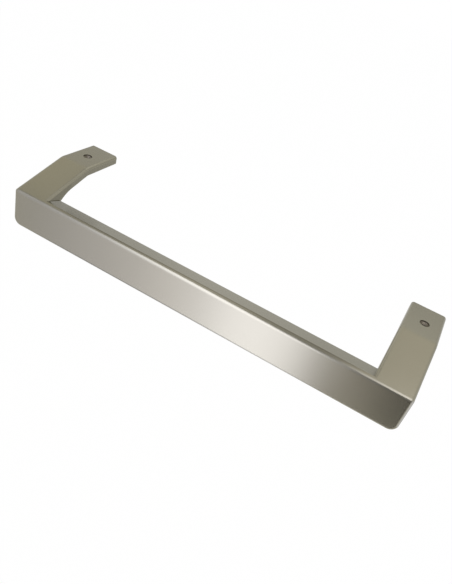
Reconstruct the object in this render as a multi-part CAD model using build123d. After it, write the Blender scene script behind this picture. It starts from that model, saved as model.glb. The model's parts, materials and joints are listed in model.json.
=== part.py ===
"""Refrigerator door handle in one piece: a straight grip bar on two cranked arms that end in screw pads.

The origin lies midway between the two screw holes, on the seating face of the pads. +X runs along the bar,
+Y runs from the bar's front face back to the tips of the pads, and +Z is the outward normal of the pads.
All sizes are millimetres and degrees.
"""
import os
from math import atan2, cos, radians, sin, tan

from build123d import *

# Grip bar
bar_length = 350.0
face_height = 32.8
bar_thickness = 12.6          # front face to the flat back, below the cove
cove_radius = 32.0            # hollow behind the bar, running up into the underside of the arms
strip_fall = 16.0             # backward fall of the strip on top of the bar, between the arms
rim_land = 1.8                # flat between the front rim and the strip
lip_radius = 2.0              # rear edge of the strip, over the fingers

# Arms and screw pads
arm_reach = 54.2              # front face to the bend, level with the pads
arm_drop = 16.0               # pad top down to the top of the front face
arm_thickness = 7.6
arm_width_bar = 30.8          # width of an arm at the front face
arm_width_tip = 29.1          # width of an arm at the pad's tip
bend_radius = 6.0             # underside of the bend
pad_length = 42.9             # bend to tip

# Screw holes
hole_to_end = 14.25           # bar's end to the hole's axis
hole_to_bend = 18.8           # bend to the hole's axis
screw_hole_diameter = 4.5
head_diameter = 7.8           # mouth at the pad's top
head_recess = 1.0             # straight wall of the mouth, above the countersink
head_angle = 90.0

# Rounded edges
rim_radius = 2.8              # around the front face, and the outer top edges of the arms
lower_corner_radius = 7.0     # the front face's lower corners
inner_edge_radius = 2.2       # inner top edges of the arms
under_edge_radius = 1.0       # inner underside edges of the arms
back_edge_radius = 1.4        # back and outer underside edges
tip_edge_radius = 0.7         # around the pads' ends
top_share = 0.45              # most that a top round takes of the arm's thickness
under_share = 0.3             # most that an underside round takes of the arm's thickness
nested_share = 0.75           # most that a round takes of a corner that it runs around
cove_share = 0.9              # most that the cove takes of the height of the bar's back

# Places that follow from the sizes
margin = arm_thickness
half_length = bar_length / 2
hole_x = half_length - hole_to_end
slope = atan2(arm_drop, arm_reach)
bend_y = -hole_to_bend
face_y = bend_y - arm_reach
back_y = face_y + bar_thickness
tip_y = bend_y + pad_length
face_top = arm_thickness - arm_drop
face_bottom = face_top - face_height
under_bend_y = bend_y + arm_thickness * tan(slope / 2)

# Rounds as made, each held within the wall or corner that carries it
rim = min(rim_radius, top_share * arm_thickness, nested_share * lower_corner_radius)
inner_edge = min(inner_edge_radius, top_share * arm_thickness)
under_edge = min(under_edge_radius, under_share * arm_thickness)
back_edge = min(back_edge_radius, under_share * arm_thickness)
tip_edge = min(tip_edge_radius, nested_share * min(under_edge, back_edge, inner_edge))


def top_z(y):
    """Height of the arm's top surface, sloped up to the bend and level on the pad."""
    return arm_thickness + min(y - bend_y, 0.0) * tan(slope)


def corner_setback(radius):
    """Distance from the corner between an upright and the sloped stretch to a round's tangent point."""
    return radius * tan(radians(45) - slope / 2)


def side_profile():
    """Side view of an arm with the bar's section: front face, sloped stretch, pad and coved back."""
    under_back = top_z(back_y) - arm_thickness / cos(slope)
    cove = min(cove_radius, cove_share * (under_back - face_bottom) / corner_setback(1))
    corners = [
        ((face_y, face_top), 0),
        ((bend_y, arm_thickness), bend_radius + arm_thickness),
        ((tip_y, arm_thickness), 0),
        ((tip_y, 0), 0),
        ((under_bend_y, 0), bend_radius),
        ((back_y, under_back), cove),
        ((back_y, face_bottom), 0),
        ((face_y, face_bottom), 0),
    ]
    points = [point for point, radius in corners]
    radii = [radius for point, radius in corners]
    return make_face(FilletPolyline(*points, radius=radii, close=True))


def bar_profile():
    """Section of the bar between the arms: the side view cut down to the falling strip behind the rim."""
    crease = corner_setback(rim) + rim_land
    crease_y = face_y + crease * cos(slope)
    crease_z = face_top + crease * sin(slope)
    reach = tip_y + margin - crease_y
    strip_end = (crease_y + reach, crease_z - reach * tan(radians(strip_fall)))
    over = arm_thickness + margin
    above_strip = make_face(Polyline(
        (crease_y, crease_z), strip_end, (crease_y + reach, over), (crease_y, over), close=True))
    section = side_profile() - above_strip
    lip = section.vertices().sort_by(Axis.X)[-1]
    return fillet(lip, lip_radius)


def grip_bar():
    """The bar, reaching half an arm's width into each arm."""
    half = half_length - arm_width_bar / 2
    return extrude(Plane.YZ.offset(-half) * bar_profile(), 2 * half)


def top_edges(face):
    """Edges of a side face that run along the arm's top."""
    near = arm_thickness / 4
    return [e for e in face.edges() if abs(e.center().Z - top_z(e.center().Y)) < near]


def underside_edges(face):
    """Edges of a side face that run from the pad's underside through the cove to the bar's bottom."""
    near = arm_thickness / 4
    top = top_edges(face)
    inside = [e for e in face.edges() if face_y + near < e.center().Y < tip_y - near]
    return [e for e in inside if e not in top and e.center().Z > face_bottom + near]


def right_arm():
    """The arm at +X, narrowing to its tip, with its inner edges rounded."""
    widest = max(arm_width_bar, arm_width_tip)
    blank = extrude(Plane.YZ.offset(half_length - widest - margin) * side_profile(), widest + margin)
    lean = (arm_width_bar - arm_width_tip) / (tip_y - face_y)
    front, rear = face_y - margin, tip_y + margin
    inner = half_length - arm_width_bar
    plan = make_face(Polyline(
        (inner + lean * (front - face_y), front),
        (half_length + margin, front),
        (half_length + margin, rear),
        (inner + lean * (rear - face_y), rear),
        close=True))
    arm = blank & extrude(plan, bar_length, both=True)
    arm = arm.fillet(inner_edge, top_edges(arm.faces().sort_by(Axis.X)[0]))
    inner_side = arm.faces().filter_by(GeomType.PLANE).sort_by(Axis.X)[0]
    return arm.fillet(under_edge, underside_edges(inner_side))


def screw_hole():
    """Screw hole at the origin, its countersink starting below a straight mouth in the pad's top."""
    sink = CounterSinkHole(screw_hole_diameter / 2, head_diameter / 2, 2 * arm_thickness, head_angle)
    return Pos(0, 0, arm_thickness - head_recess) * sink


def end_faces(body):
    """The two flat outer sides of the handle."""
    flats = body.faces().filter_by(GeomType.PLANE).sort_by(Axis.X)
    return flats[0], flats[-1]


def rounded(body):
    """The body with its corners, front rim, back edges and pad ends rounded, the largest rounds first."""
    lowest = [min(side.edges(), key=lambda e: e.center().Z) for side in end_faces(body)]
    body = body.fillet(lower_corner_radius, lowest)
    outer_tops = [edge for side in end_faces(body) for edge in top_edges(side)]
    front = body.faces().sort_by(Axis.Y)[0]
    body = body.fillet(rim, front.edges() + outer_tops)
    bottom = Vector(0, back_y, face_bottom)
    back_bottom = min(body.edges(), key=lambda e: (e.center() - bottom).length)
    body = body.fillet(back_edge, [back_bottom])
    tips = body.faces().filter_by(GeomType.PLANE).sort_by(Axis.Y)[-2:]
    return body.fillet(tip_edge, [edge for tip in tips for edge in tip.edges()])


def handle():
    """Bar and arms as one body, with the screw holes cut."""
    arm = right_arm()
    body = rounded(grip_bar() + arm + mirror(arm, about=Plane.YZ))
    for x in (-hole_x, hole_x):
        body -= Pos(x, 0, 0) * screw_hole()
    return body


os.makedirs("parts", exist_ok=True)
export_step(handle(), "parts/handle.step")
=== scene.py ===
"""Looks of a refrigerator door handle: a satin metal finish, a pale studio stage and the product camera.

Lengths are metres in the part's own frame: +X runs along the grip bar, +Y from its front face back to the
tips of the screw pads, and +Z is up.
"""
import json
import math
from typing import NamedTuple

import bpy
import numpy as np
from bpy.props import FloatProperty, FloatVectorProperty, PointerProperty
from bpy.types import Operator, Panel, PropertyGroup
from mathutils import Matrix, Vector

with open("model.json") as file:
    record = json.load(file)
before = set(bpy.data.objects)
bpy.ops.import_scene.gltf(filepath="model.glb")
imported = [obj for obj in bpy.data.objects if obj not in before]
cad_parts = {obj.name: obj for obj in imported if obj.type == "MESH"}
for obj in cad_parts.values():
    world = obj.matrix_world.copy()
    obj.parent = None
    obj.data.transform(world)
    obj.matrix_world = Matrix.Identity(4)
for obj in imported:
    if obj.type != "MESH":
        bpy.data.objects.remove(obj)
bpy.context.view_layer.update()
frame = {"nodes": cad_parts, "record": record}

bl_info = {
    "name": "Refrigerator Handle Studio",
    "version": (1, 0, 0),
    "blender": (4, 5, 0),
    "location": "View3D > Sidebar > Handle",
    "description": "Finishes a refrigerator door handle in satin metal and sets up its studio stage",
    "category": "Object",
}

BODY_NODE = "handle"
SCREW_HOLES = "screw_holes"
MM_PER_M = 1000
MEAN_NOISE = 0.5                        # middle of a noise that runs from 0 to 1
CLOUD_DETAIL = 3.0
RIPPLE_DETAIL = 2.0
CREASE_SHADE_FADE = 8.0                       # power by which the painted shade line on the bar fades towards the arms
TOP_LIGHT_SIDE = 0.9
TOP_LIGHT_PLACE = (0.30, 0.35, 1.0)
TOP_LIGHT_COLOUR = (1.0, 0.80, 0.55)
CAMERA_NEAR = 0.01


class SatinMetalFinish(PropertyGroup):
    """Colour and surface of the satin metal."""

    colour: FloatVectorProperty(
        name="Metal colour", description="Colour of the metal in white light",
        subtype="COLOR", min=0.0, max=1.0, default=(0.262, 0.246, 0.184))
    roughness: FloatProperty(
        name="Roughness", description="Mean roughness of the satin surface",
        subtype="FACTOR", min=0.0, max=1.0, default=0.26)
    roughness_spread: FloatProperty(
        name="Roughness spread", description="How far the roughness wanders from its mean",
        subtype="FACTOR", min=0.0, max=0.5, default=0.04)
    flake_size: FloatProperty(
        name="Flake size", description="Width of one bright grain in the surface",
        subtype="DISTANCE", unit="LENGTH", min=0.00005, default=0.00022)
    flake_tone: FloatProperty(
        name="Flake tone", description="How far single grains differ in brightness",
        subtype="FACTOR", min=0.0, max=1.0, default=0.05)
    ripple_size: FloatProperty(
        name="Ripple size", description="Length of the faint ripples in the polished skin",
        subtype="DISTANCE", unit="LENGTH", min=0.0002, default=0.0028)
    ripple_depth: FloatProperty(
        name="Ripple depth", description="Depth of the faint ripples",
        subtype="DISTANCE", unit="LENGTH", min=0.0, default=0.000003)
    cloud_size: FloatProperty(
        name="Cloud size", description="Length of the soft clouds in tone",
        subtype="DISTANCE", unit="LENGTH", min=0.002, default=0.024)
    cloud_tone: FloatProperty(
        name="Cloud tone", description="How far the soft clouds differ in brightness",
        subtype="FACTOR", min=0.0, max=1.0, default=0.03)
    # Painted shade: the screw holes are drawn in this darker colour for the shade that falls in them; they are also
    # made rougher.
    bore_shade_colour: FloatVectorProperty(
        name="Bore colour", description="Colour of the unpolished metal in the screw holes",
        subtype="COLOR", min=0.0, max=1.0, default=(0.14, 0.122, 0.088))
    bore_roughness: FloatProperty(
        name="Bore roughness", description="Roughness of the unpolished metal in the screw holes",
        subtype="FACTOR", min=0.0, max=1.0, default=0.5)
    # Inside this radius the holes take the painted shade colour and the bore roughness.
    bore_radius: FloatProperty(
        name="Bore radius", description="Radius round a screw's axis that is left unpolished",
        subtype="DISTANCE", unit="LENGTH", min=0.001, default=0.00395)
    # Painted shade: a darker line drawn along the bar just in front of the crease; these settings place it, size it
    # and set its darkness.
    crease_shade_place: FloatVectorProperty(
        name="Crease place", description="Depth and height of the dull line, just in front of the crease on the bar",
        size=2, subtype="XYZ", unit="LENGTH", default=(-0.06970, -0.00743))
    crease_shade_reach: FloatProperty(
        name="Crease reach", description="Half the length of the dull line, between the arms",
        subtype="DISTANCE", unit="LENGTH", min=0.0001, default=0.1442)
    crease_shade_width: FloatProperty(
        name="Crease width", description="Distance at which the dull line has faded out",
        subtype="DISTANCE", unit="LENGTH", min=0.0001, default=0.0007)
    crease_shade_tone: FloatProperty(
        name="Crease tone", description="How far the dull line goes towards the colour in the screw holes",
        subtype="FACTOR", min=0.0, max=1.0, default=0.75)


class StudioStage(PropertyGroup):
    """Floor, lights, cards and camera round the handle."""

    floor_drop: FloatProperty(
        name="Floor drop", description="Depth of the floor under the pads' seating face",
        subtype="DISTANCE", unit="LENGTH", min=0.05, default=0.60)
    floor_size: FloatProperty(
        name="Floor size", description="Length of the floor's side",
        subtype="DISTANCE", unit="LENGTH", min=1.0, default=16.0)
    floor_colour: FloatVectorProperty(
        name="Floor colour", description="Colour of the floor",
        subtype="COLOR", min=0.0, max=1.0, default=(0.97, 0.97, 0.97))
    floor_white: FloatProperty(
        name="Floor white", description="Share of plain white in the floor as it is seen",
        subtype="FACTOR", min=0.0, max=1.0, default=0.9)
    card_share: FloatProperty(
        name="Card share", description="Share of their full brightness at which the cards and softboxes shine",
        subtype="FACTOR", min=0.0, max=1.0, default=1.0)
    top_level: FloatProperty(
        name="Top light", description="Brightness of the overhead light's face, 1 for plain white",
        min=0.0, default=0.16)
    camera_place: FloatVectorProperty(
        name="Camera place", description="Place of the camera",
        subtype="TRANSLATION", unit="LENGTH", default=(0.12735, -0.39010, 0.23047))
    camera_aim: FloatVectorProperty(
        name="Camera aim", description="Point in the middle of the picture",
        subtype="TRANSLATION", unit="LENGTH", default=(0.02599, -0.07300, -0.00044))
    camera_roll: FloatProperty(
        name="Camera roll", description="Turn of the camera about its line of sight",
        subtype="ANGLE", unit="ROTATION", default=math.radians(17.632))
    camera_lens: FloatProperty(
        name="Camera lens", description="Focal length in millimetres, on a sensor whose long side is 36 mm",
        subtype="DISTANCE_CAMERA", unit="CAMERA", min=1.0, default=34.519)


COOL = (0.79, 0.81, 1.0)
PALE = (0.79, 0.79, 0.94)
MILD = (0.88, 0.88, 1.0)
DUSK = (1.0, 0.95, 0.92)
SUN = (1.0, 0.96, 0.84)
PLAIN = (1.0, 1.0, 1.0)
EVEN = ((0.0, 1.0), (1.0, 1.0))


class Card(NamedTuple):
    """A flat card or softbox of the stage, which shows in the metal alone."""

    name: str
    level: float            # brightness, 1 for plain white
    tint: tuple
    centre: tuple
    along: tuple
    across: tuple
    fade: tuple = EVEN      # (share of the length along, share of the level) from one end to the other


CARDS = (
    # In front, low: the softbox that the front face mirrors, its left part, and what ends it at the right and below
    Card("west", 4.77, PALE, (-0.331, -0.450, -0.335), (0.378, 0, 0), (0, 0, 0.51),
         ((0.0, 0.25), (0.60, 0.39), (1.0, 0.57))),
    Card("front", 4.77, COOL, (-0.031, -0.450, -0.335), (0.222, 0, 0), (0, 0, 0.51),
         ((0.0, 0.57), (0.38, 0.95), (0.81, 0.90), (1.0, 0.36))),
    Card("dusk", 1.0, DUSK, (0.16, -0.450, -0.335), (0.16, 0, 0), (0, 0, 0.51),
         ((0.0, 0.85), (0.06, 0.67), (0.34, 0.62), (0.62, 0.42), (0.85, 0.14), (1.0, 0.03))),
    Card("apron", 2.8, COOL, (-0.22, -0.25, -0.590), (0.60, 0, 0), (0, 0.38, 0),
         ((0.0, 0.25), (0.38, 0.39), (0.63, 0.57), (0.77, 0.95), (0.93, 0.90), (1.0, 0.36))),
    Card("glow", 1.4, PLAIN, (0.22, -0.435, -0.43), (0.21, 0, 0), (0, 0, 0.08)),
    # In front, high: the softboxes that the rim mirrors, and the card that ends them at the right
    Card("high", 5.3, COOL, (-0.10, -0.460, 0.26), (1.00, 0, 0), (-0.26, 0, 0.68),
         ((0.0, 0.25), (0.18, 0.28), (0.25, 0.36), (0.32, 0.55), (0.39, 0.80), (0.46, 0.97), (0.51, 1.0),
          (0.57, 0.94), (0.62, 0.76), (0.67, 0.42), (0.71, 0.20), (0.76, 0.08), (1.0, 0.04))),
    Card("hood", 5.3, COOL, (-0.25, -0.280, 0.60), (0.90, 0, 0), (0, 0.36, 0),
         ((0.0, 0.25), (0.22, 0.22), (0.39, 0.54), (0.48, 0.84), (0.56, 0.95), (0.64, 0.85), (0.72, 0.52),
          (0.84, 0.20), (1.0, 0.1))),
    Card("edge", 0.28, PLAIN, (0.385, -0.445, 0.135), (0.60, 0, 0), (0, 0, 0.43)),
    # Overhead: the dim zone over the bar, and what the arms' slopes and edges mirror
    Card("over", 1.0, PLAIN, (-0.10, 0.11, 0.30), (0.46, -0.50, 0), (0, 0.46, 0),
         ((0.0, 0.6), (0.13, 0.51), (0.26, 0.76), (0.40, 1.0), (0.53, 1.13), (0.62, 1.06), (0.73, 0.72),
          (0.90, 0.45), (1.0, 0.3))),
    Card("dim", 0.6, PLAIN, (-0.265, 0.05, 0.302), (0.14, 0, 0), (0, 0.06, 0)),
    Card("sky", 1.0, SUN, (-0.42, 0.12, 0.304), (0.13, 0, 0), (0, 0.20, 0)),
    Card("brow", 0.5, PLAIN, (-0.355, -0.03, 0.303), (0.23, 0, 0), (0, 0.12, 0),
         ((0.0, 0.9), (0.4, 1.0), (0.6, 1.4), (1.0, 1.7))),
    Card("inner", 1.4, PLAIN, (-0.10, 0.22, 0.298), (0.46, -0.22, 0), (0, 0.13, 0),
         ((0.0, 1.0), (0.70, 1.0), (0.85, 0.8), (1.0, 0.55))),
    Card("right", 3.5, MILD, (0.35, -0.18, 0.30), (0.44, 0, 0), (0, 0.36, 0),
         ((0.0, 0.5), (0.25, 1.0), (0.40, 1.0), (0.52, 0.4), (1.0, 0.4))),
    # In front at the right: the dark end of the front face
    Card("dark", 1.0, PLAIN, (0.395, -0.440, -0.335), (0.31, 0, 0), (0, 0, 0.51),
         ((0.0, 0.06), (0.25, 0.12), (0.5, 0.35), (1.0, 1.0))),
    # Behind: what the strip and the pads mirror
    Card("back", 1.0, PLAIN, (-0.20, 0.550, 0.25), (1.40, 0, 0), (0, 0, 0.60),
         ((0.0, 0.70), (0.3, 0.82), (0.55, 1.0), (0.70, 0.98), (0.79, 0.92), (1.0, 0.92))),
    Card("dawn", 0.8, SUN, (-0.56, 0.543, 0.44), (0.46, 0, 0), (0, 0, 0.17)),
    Card("pad", 1.0, PLAIN, (0.20, 0.545, 0.34), (0, 0, 0.26), (0.36, 0, 0),
         ((0.0, 0.52), (0.31, 0.72), (0.42, 0.95), (0.50, 1.09), (0.73, 1.15), (1.0, 1.15))),
    Card("skirt", 1.0, PLAIN, (-0.20, 0.545, 0.05), (1.40, 0, 0), (0, 0, 0.22),
         ((0.0, 0.66), (0.28, 0.70), (0.40, 0.78), (0.52, 0.91), (0.62, 0.87), (0.72, 0.79), (1.0, 0.80))),
    # Close to the left arm's inner side: a glowing sheet seen only in reflections, a painted reflection that makes
    # the strip mirror that wall lighter
    Card("painted_wall_reflection", 0.62, PLAIN, (-0.1438, -0.054, -0.009), (0, 0.032, 0.0094), (0, 0, 0.008)),
    # At the right: what the right end's rim and the arms' sides mirror
    Card("flank", 2.2, COOL, (0.80, -0.175, -0.215), (0, 0, 0.75), (0, 0.75, 0),
         ((0.0, 1.0), (0.8, 0.9), (1.0, 0.9))),
    Card("side", 0.9, PLAIN, (0.78, 0.60, 0.32), (0, 0.70, 0), (0, 0, 0.86),
         ((0.0, 1.25), (0.2, 1.18), (0.4, 1.0), (1.0, 1.0))),
    Card("low", 0.72, PLAIN, (0.60, 0.850, -0.55), (0.80, 0, 0), (0, 0.90, 0)),
)


def link(tree, source, target):
    """Joins an output socket to an input socket."""
    tree.links.new(source, target)


def math_node(tree, operation, *values):
    """A math node on one or two values, each a socket or a number."""
    node = tree.nodes.new("ShaderNodeMath")
    node.operation = operation
    for socket, value in zip(node.inputs, values):
        if isinstance(value, bpy.types.NodeSocket):
            link(tree, value, socket)
        else:
            socket.default_value = value
    return node.outputs[0]


def root_of_squares(tree, first, second):
    """The root of the first value squared + the second squared."""
    squares = [math_node(tree, "MULTIPLY", value, value) for value in (first, second)]
    return math_node(tree, "SQRT", math_node(tree, "ADD", *squares))


def coordinates(tree, place):
    """The x, y and z of a place."""
    split = tree.nodes.new("ShaderNodeSeparateXYZ")
    link(tree, place, split.inputs["Vector"])
    return split.outputs["X"], split.outputs["Y"], split.outputs["Z"]


def texture(tree, kind, place, size):
    """Texture node whose features have a size: its scale is 1 / size."""
    node = tree.nodes.new(kind)
    link(tree, place, node.inputs["Vector"])
    link(tree, math_node(tree, "DIVIDE", 1.0, size), node.inputs["Scale"])
    return node


def new_group(name, inputs, outputs):
    """Shader node group whose sockets are numbers, apart from colours called Colour.

    Gives the group, its inputs and outputs as seen from inside, and the object coordinates there.
    """
    group = bpy.data.node_groups.new(name, "ShaderNodeTree")
    for direction, sockets in (("INPUT", inputs), ("OUTPUT", outputs)):
        for socket in sockets:
            kind = "NodeSocketColor" if socket == "Colour" else "NodeSocketFloat"
            group.interface.new_socket(name=socket, in_out=direction, socket_type=kind)
    given = group.nodes.new("NodeGroupInput").outputs
    result = group.nodes.new("NodeGroupOutput").inputs
    return group, given, result, group.nodes.new("ShaderNodeTexCoord").outputs["Object"]


def satin_grain_group():
    """Node group of the satin grain.

    Colour is the given colour x (1 + flake tone x (random grain - 1/2) + cloud tone x (cloud noise - 1/2)),
    Roughness is the given mean + its spread x (cloud noise - 1/2), and Ripples is a noise of its own.
    """
    group, given, result, place = new_group(
        "satin_grain",
        ("Colour", "Roughness", "Roughness spread", "Flake size", "Flake tone", "Ripple size", "Cloud size",
         "Cloud tone"),
        ("Colour", "Roughness", "Ripples"))

    flakes = texture(group, "ShaderNodeTexVoronoi", place, given["Flake size"])
    spread = group.nodes.new("ShaderNodeSeparateColor")
    link(group, flakes.outputs["Color"], spread.inputs["Color"])
    flake = math_node(group, "SUBTRACT", spread.outputs["Red"], MEAN_NOISE)
    flake = math_node(group, "MULTIPLY", flake, given["Flake tone"])

    clouds = texture(group, "ShaderNodeTexNoise", place, given["Cloud size"])
    clouds.inputs["Detail"].default_value = CLOUD_DETAIL
    drift = math_node(group, "SUBTRACT", clouds.outputs["Fac"], MEAN_NOISE)
    cloud = math_node(group, "MULTIPLY", drift, given["Cloud tone"])

    toned = group.nodes.new("ShaderNodeVectorMath")
    toned.operation = "SCALE"
    link(group, given["Colour"], toned.inputs["Vector"])
    link(group, math_node(group, "ADD", math_node(group, "ADD", flake, cloud), 1.0), toned.inputs["Scale"])
    link(group, toned.outputs["Vector"], result["Colour"])

    wander = math_node(group, "MULTIPLY", drift, given["Roughness spread"])
    link(group, math_node(group, "ADD", given["Roughness"], wander), result["Roughness"])

    ripples = texture(group, "ShaderNodeTexNoise", place, given["Ripple size"])
    ripples.inputs["Detail"].default_value = RIPPLE_DETAIL
    link(group, ripples.outputs["Fac"], result["Ripples"])
    return group


def bore_mask_group():
    """Node group that is 1 in the screw holes and 0 elsewhere.

    The distance to the nearer screw's axis is the root of (|x| - half the spacing) squared + y squared.
    """
    group, given, result, place = new_group("bore_mask", ("Half spacing", "Radius"), ("Mask",))
    x, y, z = coordinates(group, place)
    aside = math_node(group, "SUBTRACT", math_node(group, "ABSOLUTE", x), given["Half spacing"])
    distance = root_of_squares(group, aside, y)
    link(group, math_node(group, "LESS_THAN", distance, given["Radius"]), result["Mask"])
    return group


def crease_shade_mask_group():
    """Node group that is 1 on the painted shade line along the bar and fades to 0 beside it and towards the arms.

    The mask is (1 - distance / width) x (1 - (|x| / reach) to the power of the fade), each held at 0 or above,
    where the distance to the line is the root of (y - depth) squared + (z - height) squared.
    """
    group, given, result, place = new_group("crease_shade_mask", ("Depth", "Height", "Reach", "Width"), ("Mask",))
    x, y, z = coordinates(group, place)
    behind = math_node(group, "SUBTRACT", y, given["Depth"])
    above = math_node(group, "SUBTRACT", z, given["Height"])
    distance = math_node(group, "DIVIDE", root_of_squares(group, behind, above), given["Width"])
    near = math_node(group, "MAXIMUM", math_node(group, "SUBTRACT", 1.0, distance), 0.0)
    aside = math_node(group, "DIVIDE", math_node(group, "ABSOLUTE", x), given["Reach"])
    aside = math_node(group, "POWER", aside, CREASE_SHADE_FADE)
    inside = math_node(group, "MAXIMUM", math_node(group, "SUBTRACT", 1.0, aside), 0.0)
    link(group, math_node(group, "MULTIPLY", near, inside), result["Mask"])
    return group


def place_group(tree, group, values):
    """Places a group in a material with the values of its inputs, and gives its outputs."""
    node = tree.nodes.new("ShaderNodeGroup")
    node.node_tree = group
    for name, value in values.items():
        node.inputs[name].default_value = value
    return node.outputs


def mixed(tree, kind, factor, source, value):
    """Mix of a socket with a plain value: factor 0 gives the socket and factor 1 the value."""
    node = tree.nodes.new("ShaderNodeMix")
    node.data_type = kind
    link(tree, factor, node.inputs["Factor"])
    link(tree, source, node.inputs["A"])
    node.inputs["B"].default_value = value
    return node.outputs["Result"]


def half_spacing():
    """Half the distance between the screws' axes, from the part's record."""
    mount = next(mount for mount in frame["record"]["mounts"] if mount["name"] == SCREW_HOLES)
    return mount["dims"]["spacing_x_mm"] / 2 / MM_PER_M


def satin_metal(finish):
    """Material of the handle: satin metal, with shade painted as a darker colour in the screw holes and on a thin
    line beside the crease; the screw holes are rougher as well.
    """
    material = bpy.data.materials.new("satin_metal_finish")
    material.use_nodes = True
    tree = material.node_tree
    shader = tree.nodes["Principled BSDF"]
    shader.inputs["Metallic"].default_value = 1.0
    grain = place_group(tree, satin_grain_group(), {
        "Colour": (*finish.colour, 1.0),
        "Roughness": finish.roughness,
        "Roughness spread": finish.roughness_spread,
        "Flake size": finish.flake_size,
        "Flake tone": finish.flake_tone,
        "Ripple size": finish.ripple_size,
        "Cloud size": finish.cloud_size,
        "Cloud tone": finish.cloud_tone,
    })
    bores = place_group(tree, bore_mask_group(), {
        "Half spacing": half_spacing(),
        "Radius": finish.bore_radius,
    })["Mask"]
    # Painted shade: the darker line beside the crease on the bar.
    depth, height = finish.crease_shade_place
    crease_shade = place_group(tree, crease_shade_mask_group(), {
        "Depth": depth,
        "Height": height,
        "Reach": finish.crease_shade_reach,
        "Width": finish.crease_shade_width,
    })["Mask"]
    # Painted shade: a darker colour in the screw holes and on the line beside the crease; only the holes also get
    # more roughness.
    painted_shade = math_node(tree, "MAXIMUM", bores, math_node(tree, "MULTIPLY", crease_shade, finish.crease_shade_tone))
    colour = mixed(tree, "RGBA", painted_shade, grain["Colour"], (*finish.bore_shade_colour, 1.0))
    roughness = mixed(tree, "FLOAT", bores, grain["Roughness"], finish.bore_roughness)
    bump = tree.nodes.new("ShaderNodeBump")
    bump.inputs["Distance"].default_value = finish.ripple_depth
    link(tree, grain["Ripples"], bump.inputs["Height"])
    link(tree, colour, shader.inputs["Base Color"])
    link(tree, roughness, shader.inputs["Roughness"])
    link(tree, bump.outputs["Normal"], shader.inputs["Normal"])
    return material


class HANDLE_OT_metal_finish(Operator):
    """Gives the handle its satin metal"""

    bl_idname = "handle_studio.metal_finish"
    bl_label = "Satin Metal"

    def execute(self, context):
        body = frame["nodes"][BODY_NODE]
        material = satin_metal(context.scene.handle_finish)
        for slot in body.material_slots:
            slot.material = material
        return {"FINISHED"}


def sheet(name, centre, along, across):
    """Flat rectangle: centre + (u - 1/2) x along + (v - 1/2) x across, with u and v of 0 and 1 as its UV map."""
    u, v = np.meshgrid((0.0, 1.0), (0.0, 1.0), indexing="ij")
    sides = (u[..., None] - 0.5) * np.asarray(along) + (v[..., None] - 0.5) * np.asarray(across)
    points = np.asarray(centre) + sides
    loop = [0, 2, 3, 1]
    mesh = bpy.data.meshes.new(name)
    mesh.from_pydata(points.reshape(-1, 3).tolist(), [], [loop])
    flat = np.stack((u.ravel()[loop], v.ravel()[loop]), axis=1)
    mesh.uv_layers.new(name="sheet").data.foreach_set("uv", flat.ravel())
    made = bpy.data.objects.new(name, mesh)
    bpy.context.scene.collection.objects.link(made)
    return made


def card_glow(card, share):
    """Material of a card: it shines at the share of its level, times its tint and its fade along the length."""
    material = bpy.data.materials.new(card.name)
    material.use_nodes = True
    tree = material.node_tree
    tree.nodes.clear()
    ramp = tree.nodes.new("ShaderNodeValToRGB")
    ramp.color_ramp.interpolation = "EASE"
    elements = ramp.color_ramp.elements
    for along, strength in card.fade[1:-1]:
        elements.new(along)
    for element, (along, strength) in zip(elements, card.fade):
        element.color = (*(strength * part for part in card.tint), 1.0)
    shader = tree.nodes.new("ShaderNodeEmission")
    shader.inputs["Strength"].default_value = card.level * share
    u, v, w = coordinates(tree, tree.nodes.new("ShaderNodeTexCoord").outputs["UV"])
    link(tree, u, ramp.inputs["Fac"])
    link(tree, ramp.outputs["Color"], shader.inputs["Color"])
    link(tree, shader.outputs["Emission"], tree.nodes.new("ShaderNodeOutputMaterial").inputs["Surface"])
    return material


def place_card(card, share):
    """Card that shows in the metal alone."""
    made = sheet(card.name + "_card", card.centre, card.along, card.across)
    made.data.materials.append(card_glow(card, share))
    made.visible_camera = False
    made.visible_diffuse = False
    made.visible_shadow = False


def top_light(scene, level):
    """Overhead area light that shines down, its power set so that its face shows at the level."""
    lamp = bpy.data.lights.new("top_light", "AREA")
    lamp.shape = "SQUARE"
    lamp.size = TOP_LIGHT_SIDE
    lamp.color = TOP_LIGHT_COLOUR
    lamp.energy = level * math.pi * TOP_LIGHT_SIDE ** 2
    lamp_object = bpy.data.objects.new("top_light", lamp)
    scene.collection.objects.link(lamp_object)
    lamp_object.location = TOP_LIGHT_PLACE
    lamp_object.visible_camera = False


def pale_floor(stage):
    """Floor of one pale colour, mixed with plain white in sight and in reflections, so its shadow stays soft."""
    side = stage.floor_size
    floor = sheet("floor", (0, 0, -stage.floor_drop), (side, 0, 0), (0, side, 0))
    material = bpy.data.materials.new("pale_floor")
    material.use_nodes = True
    tree = material.node_tree
    matt = tree.nodes["Principled BSDF"]
    matt.inputs["Base Color"].default_value = (*stage.floor_colour, 1.0)
    matt.inputs["Roughness"].default_value = 1.0
    matt.inputs["Specular IOR Level"].default_value = 0.0
    white = tree.nodes.new("ShaderNodeEmission")
    rays = tree.nodes.new("ShaderNodeLightPath").outputs
    seen = math_node(tree, "MAXIMUM", rays["Is Camera Ray"], rays["Is Glossy Ray"])
    seen = math_node(tree, "MAXIMUM", seen, rays["Is Transmission Ray"])
    mix = tree.nodes.new("ShaderNodeMixShader")
    link(tree, math_node(tree, "MULTIPLY", seen, stage.floor_white), mix.inputs["Fac"])
    link(tree, matt.outputs["BSDF"], mix.inputs[1])
    link(tree, white.outputs["Emission"], mix.inputs[2])
    link(tree, mix.outputs["Shader"], tree.nodes["Material Output"].inputs["Surface"])
    floor.data.materials.append(material)


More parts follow.
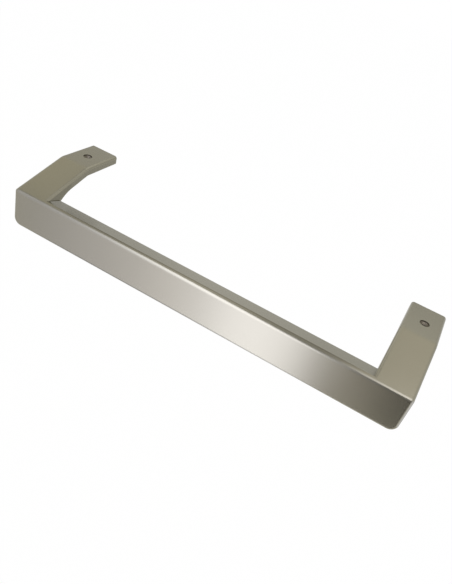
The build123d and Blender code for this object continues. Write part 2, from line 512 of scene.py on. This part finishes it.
def white_world(scene):
    """World of plain white, the same all round."""
    world = bpy.data.worlds.new("white_world")
    world.use_nodes = True
    background = world.node_tree.nodes["Background"]
    background.inputs["Color"].default_value = (1.0, 1.0, 1.0, 1.0)
    background.inputs["Strength"].default_value = 1.0
    scene.world = world


def product_camera(scene, stage):
    """Camera that looks from its place at its aim, then turns about that line by its roll."""
    data = bpy.data.cameras.new("product_camera")
    data.lens = stage.camera_lens
    data.clip_start = CAMERA_NEAR
    camera = bpy.data.objects.new("product_camera", data)
    scene.collection.objects.link(camera)
    place, aim = Vector(stage.camera_place), Vector(stage.camera_aim)
    turn = (aim - place).to_track_quat("-Z", "Y").to_matrix().to_4x4()
    camera.matrix_world = Matrix.Translation(place) @ turn @ Matrix.Rotation(stage.camera_roll, 4, "Z")
    scene.camera = camera


class HANDLE_OT_stage(Operator):
    """Sets up the floor, the white world, the lights and cards, and the camera"""

    bl_idname = "handle_studio.stage"
    bl_label = "Studio Stage"

    def execute(self, context):
        scene, stage = context.scene, context.scene.handle_stage
        scene.view_settings.view_transform = "Standard"
        pale_floor(stage)
        white_world(scene)
        for card in CARDS:
            place_card(card, stage.card_share)
        top_light(scene, stage.top_level)
        product_camera(scene, stage)
        return {"FINISHED"}


class HANDLE_PT_studio(Panel):
    """Sidebar panel with the steps and what they can be set to"""

    bl_idname = "HANDLE_PT_studio"
    bl_label = "Handle Studio"
    bl_space_type = "VIEW_3D"
    bl_region_type = "UI"
    bl_category = "Handle"

    def draw(self, context):
        scene = context.scene
        steps = ((HANDLE_OT_metal_finish, scene.handle_finish), (HANDLE_OT_stage, scene.handle_stage))
        for step, settings in steps:
            box = self.layout.box()
            box.operator(step.bl_idname)
            for name in settings.__annotations__:
                box.prop(settings, name)


CLASSES = (SatinMetalFinish, StudioStage, HANDLE_OT_metal_finish, HANDLE_OT_stage, HANDLE_PT_studio)


def register():
    """Registers the classes and hangs their settings on the scene."""
    for cls in CLASSES:
        bpy.utils.register_class(cls)
    bpy.types.Scene.handle_finish = PointerProperty(type=SatinMetalFinish)
    bpy.types.Scene.handle_stage = PointerProperty(type=StudioStage)


def unregister():
    """Takes the settings off the scene and unregisters the classes."""
    del bpy.types.Scene.handle_stage
    del bpy.types.Scene.handle_finish
    for cls in reversed(CLASSES):
        bpy.utils.unregister_class(cls)


def main():
    """Makes the finish and the stage."""
    register()
    bpy.ops.handle_studio.metal_finish()
    bpy.ops.handle_studio.stage()


if __name__ == "__main__":
    main()
